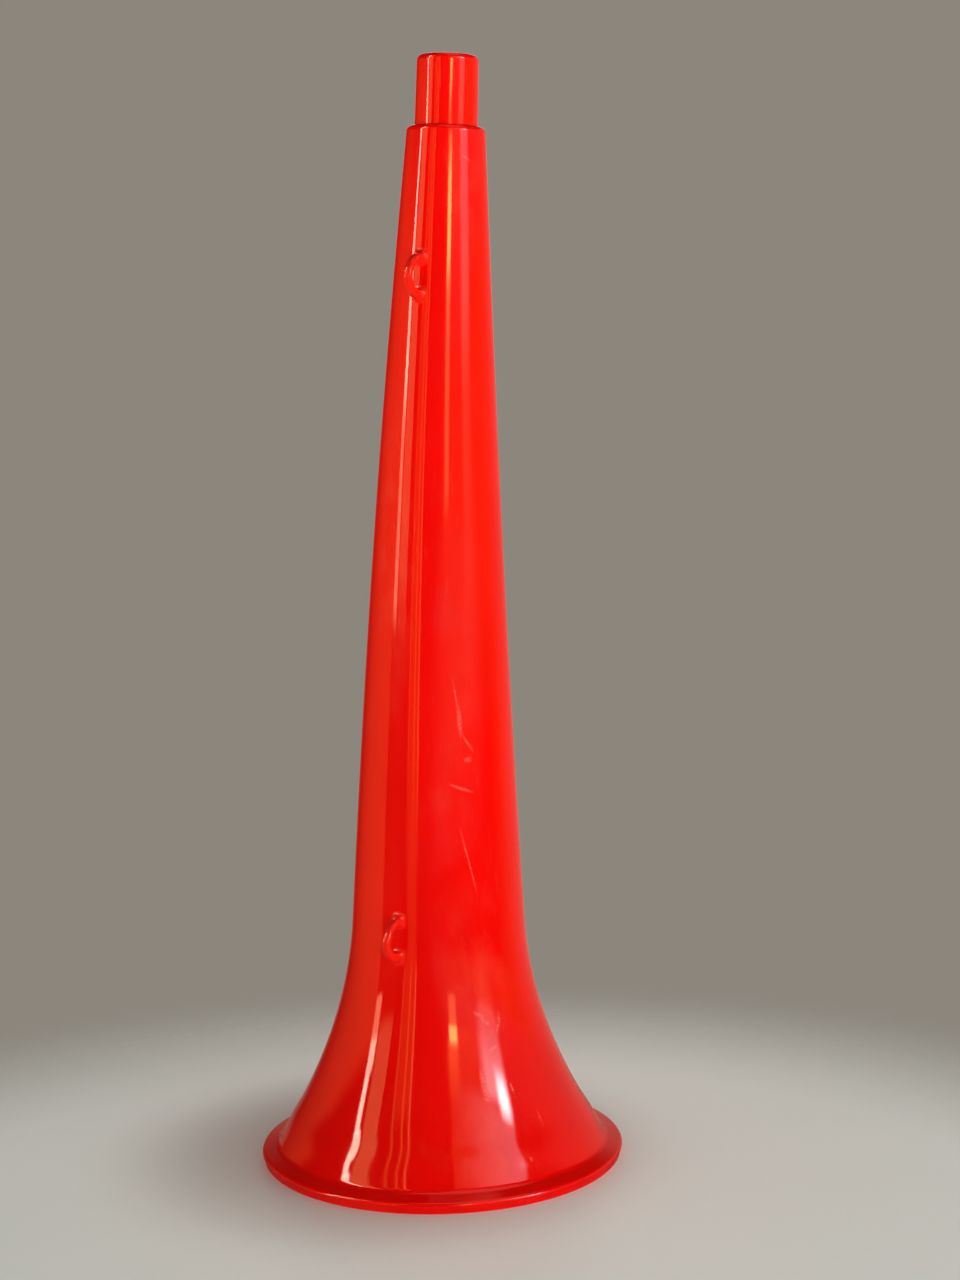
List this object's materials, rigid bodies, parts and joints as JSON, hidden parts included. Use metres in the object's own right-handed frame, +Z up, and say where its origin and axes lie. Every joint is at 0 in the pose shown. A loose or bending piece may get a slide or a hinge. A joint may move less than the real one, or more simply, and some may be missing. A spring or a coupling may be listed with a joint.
{
  "type": "vuvuzela",
  "caption": "Short lip-blown plastic stadium horn standing on its flared bell, with moulded lanyard loops and a plug-in mouthpiece.",
  "frame": {"origin": "centre of the bell's rim, on the plane that the rim stands on", "axes": "+Z up the horn, square to the bell's rim; the lanyard loops stand out towards -Y; the tube bows gently towards +X and a little towards +Y as it rises"},
  "size_m": [0.1272, 0.1272, 0.3804],
  "materials": {
    "horn_plastic": "polished moulding with fine handling scratches",
    "mouthpiece_plastic": "polished moulding"
  },
  "bodies": {
    "horn": {"horn_body": "horn_plastic"},
    "mouthpiece": {"mouthpiece": "mouthpiece_plastic"}
  },
  "joints": [
    {"name": "mouthpiece_pull", "type": "slide", "parent": "horn", "child": "mouthpiece", "axis": [0.0444, 0.0217, 0.9988], "range_m": [0, 0.04]}
  ]
}
